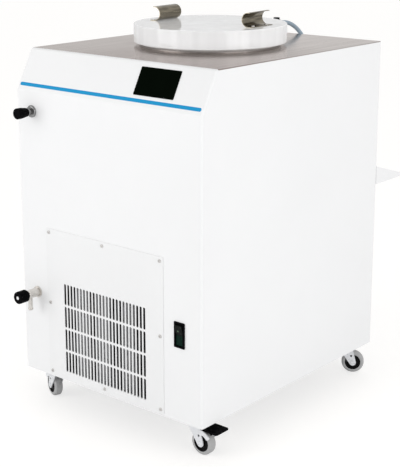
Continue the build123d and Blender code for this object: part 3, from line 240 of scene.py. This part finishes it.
floor_tone.inputs[7].default_value = (0.42, 0.41, 0.395, 1)
floor_tree.links.new(floor_ray.outputs["Is Camera Ray"], floor_tone.inputs["Factor"])
floor_tree.links.new(floor_tone.outputs[2], floor_shader.inputs["Base Color"])
floor_shader.inputs["Emission Color"].default_value = (1, 1, 1, 1)
floor.data.materials.append(floor_material)

world = bpy.data.worlds.new("studio_white")
world.use_nodes = True
bpy.context.scene.world = world
world_tree = world.node_tree
background = world_tree.nodes["Background"]
background.inputs["Color"].default_value = (1, 1, 1, 1)
world_ray = world_tree.nodes.new("ShaderNodeLightPath")
seen = world_tree.nodes.new("ShaderNodeMath")
seen.operation = "MAXIMUM"
world_tree.links.new(world_ray.outputs["Is Camera Ray"], seen.inputs[0])
world_tree.links.new(world_ray.outputs["Is Transmission Ray"], seen.inputs[1])
world_strength = world_tree.nodes.new("ShaderNodeMapRange")
world_tree.links.new(seen.outputs[0], world_strength.inputs["Value"])
world_strength.inputs["To Min"].default_value = 0.77
world_strength.inputs["To Max"].default_value = 1.0
world_tree.links.new(world_strength.outputs["Result"], background.inputs["Strength"])

for lamp_name, lamp_place, lamp_size, lamp_watts in (
    ("soft_key", (-1.6, -3.2, 1.2), 2.2, 37.0),
    ("soft_side", (3.4, -0.6, 1.1), 2.2, 38.0),
):
    lamp_data = bpy.data.lights.new(lamp_name, "AREA")
    lamp_data.size = lamp_size
    lamp_data.energy = lamp_watts
    lamp = bpy.data.objects.new(lamp_name, lamp_data)
    bpy.context.scene.collection.objects.link(lamp)
    lamp.location = lamp_place
    lamp.rotation_euler = (Vector((0, 0, 0.4)) - Vector(lamp_place)).to_track_quat("-Z", "Y").to_euler()
bpy.context.scene.view_settings.view_transform = "Standard"

# ---- Cabinet panels ---------------------------------------------------------------
# Folded sheet steel, powder coated white: a fine orange peel, barely warm, with a
# little unevenness from panel to panel.
powder, powder_in, powder_out = effect(
    "powder_coat", {"Unevenness": 0.02, "Gloss low": 0.34, "Gloss high": 0.42}
)
powder_place = object_place(powder)
powder_cloud = noise(powder, powder_place, (5, 5, 5), 4.0)
powder_peel = noise(powder, powder_place, (620, 620, 620), 2.0)
powder_dimmest = sum_of(powder, "SUBTRACT", 1.0, powder_in.outputs["Unevenness"])
wire(powder, dim(powder, powder_in.outputs["Colour"], spread(powder, powder_cloud, 1.0, powder_dimmest)),
     powder_out.inputs["Colour"])
wire(powder, spread(powder, powder_cloud, powder_in.outputs["Gloss low"], powder_in.outputs["Gloss high"]),
     powder_out.inputs["Roughness"])
wire(powder, powder_peel, powder_out.inputs["Height"])
white = (0.820, 0.822, 0.826)
panel_material = finish("white_powder_coat", powder, white, relief=0.06, depth=0.0002)
coat(panel_material, "side_panel_left", "side_panel_right", "rear_panel", "rear_tray")
access_material = finish("white_powder_coat_cover", powder, (0.808, 0.810, 0.812), relief=0.06, depth=0.0002)
coat(access_material, "access_panel")

# ---- Front panel with its painted stripe -------------------------------------------
# The same coat. A bright blue stripe with round ends is printed along the foot of
# the sloping control panel.
stripe_blue = (0.0, 0.275, 0.560)
stripe_height = 0.7420
stripe_half = 0.0040
stripe_reach = 0.2585
slope_lean = math.cos(math.radians(28))
front_material = finish("white_powder_coat_front", powder, (0.836, 0.838, 0.842), relief=0.06, depth=0.0002,
                        Specular_IOR_Level=0.2)
tree = front_material.node_tree
place = tree.nodes.new("ShaderNodeSeparateXYZ")
wire(tree, object_place(tree), place.inputs[0])
along = sum_of(tree, "MAXIMUM", sum_of(tree, "SUBTRACT", sum_of(tree, "ABSOLUTE", place.outputs["X"], None),
                                       stripe_reach - stripe_half), 0.0)
across = sum_of(tree, "DIVIDE", sum_of(tree, "SUBTRACT", place.outputs["Z"], stripe_height), slope_lean)
away = sum_of(tree, "SQRT", sum_of(tree, "ADD", sum_of(tree, "POWER", along, 2.0),
                                   sum_of(tree, "POWER", sum_of(tree, "ABSOLUTE", across, None), 2.0)), None)
stripe = spread(tree, away, 1.0, 0.0, stripe_half - 0.0002, stripe_half + 0.0002)
wire(tree, blend_colour(tree, stripe, tree.nodes["skin"].outputs["Colour"], stripe_blue),
     tree.nodes["Principled BSDF"].inputs["Base Color"])
coat(front_material, "front_panel")

# ---- Stainless top --------------------------------------------------------------
# Two-millimetre stainless sheet brushed from front to back, with a browner, darker tone
# painted over its front right part as a painted reflection.
brush, brush_in, brush_out = effect(
    "brushed_steel", {"Contrast": 0.16, "Gloss low": 0.24, "Gloss high": 0.40}
)
brush_place = object_place(brush)
brush_lines = noise(brush, brush_place, (520, 5, 520), 4.0)
brush_cloud = noise(brush, brush_place, (7, 7, 7), 3.0)
brush_dimmest = sum_of(brush, "SUBTRACT", 1.0, brush_in.outputs["Contrast"])
wire(brush, dim(brush, brush_in.outputs["Colour"], spread(brush, brush_lines, 1.0, brush_dimmest)),
     brush_out.inputs["Colour"])
wire(brush, spread(brush, sum_of(brush, "ADD", sum_of(brush, "MULTIPLY", brush_lines, 0.5),
                                 sum_of(brush, "MULTIPLY", brush_cloud, 0.5)),
                   brush_in.outputs["Gloss low"], brush_in.outputs["Gloss high"]),
     brush_out.inputs["Roughness"])
wire(brush, brush_lines, brush_out.inputs["Height"])
top_material = finish(
    "brushed_stainless_top", brush, (0.72, 0.675, 0.650),
    {"Contrast": 0.3, "Gloss low": 0.10, "Gloss high": 0.22},
    relief=0.2, depth=0.0001, Metallic=1.0, Specular_Tint=(0.90, 0.87, 0.855, 1.0)
)
tree = top_material.node_tree
place = tree.nodes.new("ShaderNodeSeparateXYZ")
wire(tree, object_place(tree), place.inputs[0])
# Painted reflection: the base colour is darkened and browned towards the front right.
clear = sum_of(tree, "MAXIMUM", spread(tree, place.outputs["Y"], 0.0, 1.0, -0.30, 0.12),
               spread(tree, place.outputs["X"], 0.75, 0.0, -0.27, 0.06))
painted_reflection_tone = blend_colour(tree, clear, (0.50, 0.44, 0.42), (1.0, 1.0, 1.0))
darkened_by_painted_reflection = tree.nodes.new("ShaderNodeVectorMath")
darkened_by_painted_reflection.operation = "MULTIPLY"
wire(tree, tree.nodes["skin"].outputs["Colour"], darkened_by_painted_reflection.inputs[0])
wire(tree, painted_reflection_tone, darkened_by_painted_reflection.inputs[1])
wire(tree, darkened_by_painted_reflection.outputs[0], tree.nodes["Principled BSDF"].inputs["Base Color"])
coat(top_material, "top_plate")

# ---- Chamber pot, vacuum port and their seal ---------------------------------------
# Spun stainless, satin inside; the seal is a pale translucent silicone ring, the lines
# are dark rubber.
# The pot and port take half the top plate's stainless colour: painted shade that keeps the rim dark under the
# lid.
pot_material = finish("satin_stainless", brush, (0.36, 0.335, 0.32), {"Gloss low": 0.35, "Gloss high": 0.5},
                      relief=0.15, depth=0.0001, Metallic=1.0)
coat(pot_material, "chamber_pot", "vacuum_port")

moulded, moulded_in, moulded_out = effect(
    "moulded_plastic", {"Unevenness": 0.10, "Gloss low": 0.38, "Gloss high": 0.52}
)
moulded_place = object_place(moulded)
moulded_cloud = noise(moulded, moulded_place, (60, 60, 60), 3.0)
moulded_grain = noise(moulded, moulded_place, (1500, 1500, 1500), 2.0)
moulded_dimmest = sum_of(moulded, "SUBTRACT", 1.0, moulded_in.outputs["Unevenness"])
moulded_shade = spread(moulded, moulded_cloud, 1.0, moulded_dimmest)
wire(moulded, dim(moulded, moulded_in.outputs["Colour"], moulded_shade),
     moulded_out.inputs["Colour"])
wire(moulded,
     spread(moulded, moulded_cloud, moulded_in.outputs["Gloss low"], moulded_in.outputs["Gloss high"]),
     moulded_out.inputs["Roughness"])
wire(moulded, moulded_grain, moulded_out.inputs["Height"])
seal_material = finish("pale_silicone", moulded, (0.70, 0.67, 0.65), relief=0.1, depth=0.0001)
coat(seal_material, "lid_gasket")
line_material = finish("dark_rubber_line", moulded, (0.05, 0.047, 0.045), relief=0.1, depth=0.0001)
coat(line_material, "chamber_lines")

# ---- Lid ---------------------------------------------------------------------------
# A thick disc of cast acrylic with a turned, polished edge; faint turning marks and a
# slightly milky body.
cast, cast_in, cast_out = effect("cast_acrylic", {"Milk": 0.11, "Gloss low": 0.02, "Gloss high": 0.06})
cast_place = object_place(cast)
cast_cloud = noise(cast, cast_place, (14, 14, 14), 3.0)
cast_marks = noise(cast, cast_place, (45, 45, 0.5), 1.0)
wire(cast, dim(cast, cast_in.outputs["Colour"],
               spread(cast, cast_marks, 1.0, sum_of(cast, "SUBTRACT", 1.0, cast_in.outputs["Milk"]))),
     cast_out.inputs["Colour"])
wire(cast, spread(cast, cast_cloud, cast_in.outputs["Gloss low"], cast_in.outputs["Gloss high"]),
     cast_out.inputs["Roughness"])
wire(cast, cast_marks, cast_out.inputs["Height"])
# The lid also glows faintly through its emission: painted light standing in for light gathered in the
# acrylic.
lid_material = finish(
    "milky_cast_acrylic", cast, (0.985, 0.985, 0.99), {"Gloss low": 0.05, "Gloss high": 0.10},
    relief=0.02, depth=0.0001, Transmission_Weight=0.30, IOR=1.49,
    Emission_Color=(1.0, 1.0, 1.0, 1.0), Emission_Strength=0.07
)
coat(lid_material, "lid")

# ---- Lid handles --------------------------------------------------------------------
# Half-round bends of satin stainless sheet, screwed to the lid by their feet, with streaks of painted
# reflection in their colour.
handle_material = finish(
    "satin_steel_handles", brush, (0.21, 0.185, 0.14), {"Gloss low": 0.12, "Gloss high": 0.22},
    relief=0.2, depth=0.0001, Metallic=1.0
)
tree = handle_material.node_tree
# Painted reflections: stretched noise lightens and darkens the base colour in long streaks.
painted_reflection_streaks = spread(tree, noise(tree, object_place(tree), (22, 22, 260), 2.0), 0.7, 1.5, 0.36, 0.64)
wire(tree, dim(tree, tree.nodes["skin"].outputs["Colour"], painted_reflection_streaks),
     tree.nodes["Principled BSDF"].inputs["Base Color"])
coat(handle_material, "handle_left", "handle_right")

# ---- Screws and castor bolts ----------------------------------------------------------
# Bright zinc-plated steel.
plated, plated_in, plated_out = effect(
    "zinc_plating", {"Unevenness": 0.2, "Gloss low": 0.25, "Gloss high": 0.42}
)
plated_place = object_place(plated)
plated_cloud = noise(plated, plated_place, (90, 90, 90), 4.0)
plated_grain = noise(plated, plated_place, (800, 800, 800), 2.0)
plated_dimmest = sum_of(plated, "SUBTRACT", 1.0, plated_in.outputs["Unevenness"])
wire(plated, dim(plated, plated_in.outputs["Colour"], spread(plated, plated_cloud, 1.0, plated_dimmest)),
     plated_out.inputs["Colour"])
wire(plated, spread(plated, plated_cloud, plated_in.outputs["Gloss low"], plated_in.outputs["Gloss high"]),
     plated_out.inputs["Roughness"])
wire(plated, plated_grain, plated_out.inputs["Height"])
screw_material = finish("zinc_plated_screws", plated, (0.66, 0.64, 0.62), relief=0.1, Metallic=0.6)
coat(screw_material, "panel_screws", "handle_screws", "castor_bolts")
sheet_material = finish("zinc_plated_sheet", plated, (0.62, 0.63, 0.65), relief=0.1, Metallic=1.0)
coat(sheet_material, "base_plate", "fan_shroud", "castor_plates")

# ---- Display ----------------------------------------------------------------------------
# Black touch glass bonded over its module.
display_material = finish("display_glass", cast, (0.002, 0.0035, 0.002), relief=0.0, depth=0.0001,
                          Specular_IOR_Level=0.0)
coat(display_material, "display_glass")
black_material = finish("black_moulding", moulded, (0.002, 0.002, 0.0025), relief=0.2, depth=0.0001,
                        Specular_IOR_Level=0.02)
coat(black_material, "display_module", "switch_bezel", "vent_knob", "drain_knob")
coat(black_material, "mains_inlet", "hose_elbows")

# ---- Mains switch rocker ------------------------------------------------------------------
# Dark rocker whose lower half is a green lens, with a small light dot.
rocker_dot = (0.2035, -0.3495, 0.2800)
rocker_material = finish(
    "green_rocker", moulded, (0.003, 0.005, 0.004), {"Gloss low": 0.25, "Gloss high": 0.35},
    relief=0.05, depth=0.0001, Specular_IOR_Level=0.08
)
tree = rocker_material.node_tree
place = tree.nodes.new("ShaderNodeSeparateXYZ")
wire(tree, object_place(tree), place.inputs[0])
lower = spread(tree, place.outputs["Z"], 1.0, 0.0, 0.2700, 0.2706)
lens = blend_colour(tree, lower, tree.nodes["skin"].outputs["Colour"], (0.0, 0.014, 0.008))
dot_off = tree.nodes.new("ShaderNodeVectorMath")
dot_off.operation = "DISTANCE"
wire(tree, object_place(tree), dot_off.inputs[0])
dot_off.inputs[1].default_value = rocker_dot
dot = spread(tree, dot_off.outputs["Value"], 1.0, 0.0, 0.0012, 0.0030)
wire(tree, blend_colour(tree, dot, lens, (0.10, 0.16, 0.10)),
     tree.nodes["Principled BSDF"].inputs["Base Color"])
coat(rocker_material, "rocker")

# ---- Valves -----------------------------------------------------------------------------------
# Chromed escutcheon at the vent; nickel-plated brass body at the drain, with a white
# cap in its knob.
chrome_material = finish("chrome_plate", plated, (0.30, 0.30, 0.30), {"Gloss low": 0.05, "Gloss high": 0.10},
                         relief=0.03, Metallic=1.0)
coat(chrome_material, "vent_flange")
nickel_material = finish("nickel_plate", plated, (0.75, 0.72, 0.68), {"Gloss low": 0.18, "Gloss high": 0.3},
                         relief=0.05, Metallic=1.0)
coat(nickel_material, "drain_valve")
cap_material = finish("white_cap", moulded, (0.75, 0.75, 0.75), relief=0.1, depth=0.0001)
coat(cap_material, "drain_knob_cap")

# ---- Refrigeration behind the grille ------------------------------------------------------------
# Aluminium fins on copper tube, a black enamelled compressor and motor, a plastic
# fan and black foam round the pot. The fins look bright in three fields
# and dark between them.
fin_fields = ((-0.118, -0.072), (-0.050, -0.010), (0.026, 0.062))
fin_material = finish("bare_aluminium_fins", plated, (0.76, 0.77, 0.78), relief=0.1, Metallic=0.15)
tree = fin_material.node_tree
place = tree.nodes.new("ShaderNodeSeparateXYZ")
wire(tree, object_place(tree), place.inputs[0])
bare = None
for from_x, to_x in fin_fields:
    inside = sum_of(tree, "MULTIPLY", spread(tree, place.outputs["X"], 0.0, 1.0, from_x - 0.003, from_x),
                    spread(tree, place.outputs["X"], 1.0, 0.0, to_x, to_x + 0.003))
    bare = inside if bare is None else sum_of(tree, "ADD", bare, inside)
wire(tree, blend_colour(tree, bare, (0.006, 0.006, 0.006), tree.nodes["skin"].outputs["Colour"]),
     tree.nodes["Principled BSDF"].inputs["Base Color"])
coat(fin_material, "condenser_fins")
copper_material = finish("copper_tube", plated, (0.70, 0.36, 0.22), relief=0.1, Metallic=1.0)
coat(copper_material, "condenser_tubes", "evaporator_coil", "refrigerant_lines", "filter_drier")
enamel_material = finish("black_enamel", powder, (0.02, 0.02, 0.02), relief=0.1)
coat(enamel_material, "compressor", "fan_motor")
fan_material = finish("fan_plastic", moulded, (0.03, 0.03, 0.03), relief=0.2, depth=0.0001)
coat(fan_material, "fan_blade", "compressor_feet")
foam_material = finish("nitrile_foam", moulded, (0.02, 0.02, 0.02), {"Gloss low": 0.8, "Gloss high": 0.95},
                       relief=0.5)
coat(foam_material, "insulation")

# ---- Castors -----------------------------------------------------------------------------------------
# Zinc-plated pressed forks on kingpins, black nylon hubs, grey rubber treads; the
# front pair has black brake pedals.
corners = ("front_left", "front_right", "rear_left", "rear_right")
fork_material = finish("zinc_plated_forks", plated, (0.85, 0.86, 0.88), {"Unevenness": 0.08},
                       relief=0.1, Metallic=0.35)
hub_material = finish("black_nylon_hub", moulded, (0.004, 0.004, 0.004), relief=0.2, depth=0.0001,
                      Specular_IOR_Level=0.10)
tyre_material = finish(
    "grey_rubber_tread", moulded, (0.42, 0.42, 0.42), {"Gloss low": 0.55, "Gloss high": 0.75},
    relief=0.3, depth=0.0001
)
for corner in corners:
    coat(fork_material, f"fork_{corner}")
    coat(fork_material, f"axle_{corner}")
    coat(hub_material, f"hub_{corner}")
    coat(tyre_material, f"tyre_{corner}")
coat(black_material, "brake_pedal_front_left", "brake_pedal_front_right")
